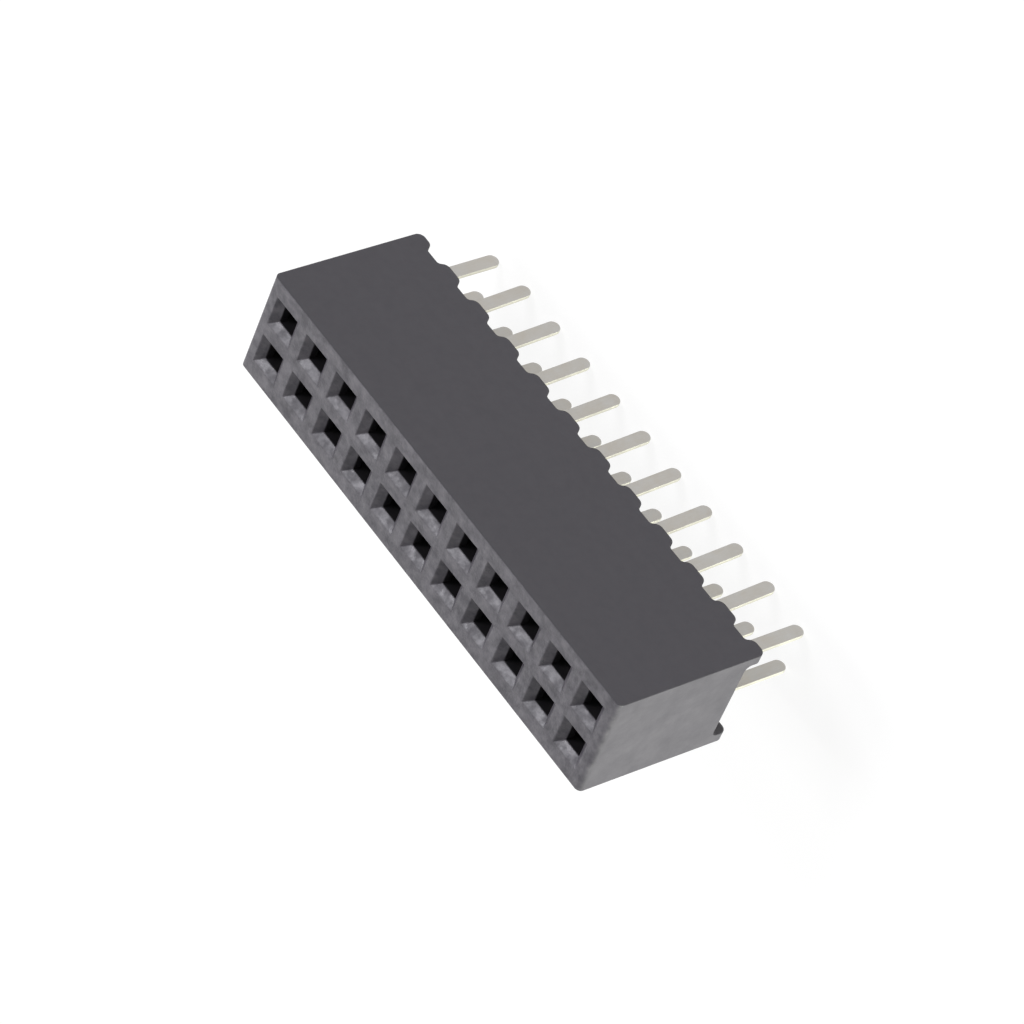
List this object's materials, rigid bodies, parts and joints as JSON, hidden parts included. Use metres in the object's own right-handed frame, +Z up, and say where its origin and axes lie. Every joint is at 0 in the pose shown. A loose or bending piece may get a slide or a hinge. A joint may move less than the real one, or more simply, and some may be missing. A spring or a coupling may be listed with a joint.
{
  "type": "socket header",
  "caption": "Board-mount socket header: moulded housing with rows of funnel-mouthed sockets on a toothed standoff base, holding folded spring contacts with straight solder tails.",
  "frame": {"origin": "middle of the board seat: in the plane of the rails' feet, halfway between the two rows and halfway along them", "axes": "+X along the rows towards contact 1, +Y across them from row a to row b, +Z up from the board to the mating face"},
  "size_m": [0.0286, 0.006, 0.0132],
  "materials": {
    "housing_plastic": "matte dark grey glass-filled moulding, finely textured",
    "contact_metal": "matte tin-plated copper alloy strip"
  },
  "bodies": {
    "root": {"housing": "housing_plastic", "contact_a01": "contact_metal", "contact_a02": "contact_metal", "contact_a03": "contact_metal", "contact_a04": "contact_metal", "contact_a05": "contact_metal", "contact_a06": "contact_metal", "contact_a07": "contact_metal", "contact_a08": "contact_metal", "contact_a09": "contact_metal", "contact_a10": "contact_metal", "contact_a11": "contact_metal", "contact_b01": "contact_metal", "contact_b02": "contact_metal", "contact_b03": "contact_metal", "contact_b04": "contact_metal", "contact_b05": "contact_metal", "contact_b06": "contact_metal", "contact_b07": "contact_metal", "contact_b08": "contact_metal", "contact_b09": "contact_metal", "contact_b10": "contact_metal", "contact_b11": "contact_metal"}
  },
  "joints": []
}
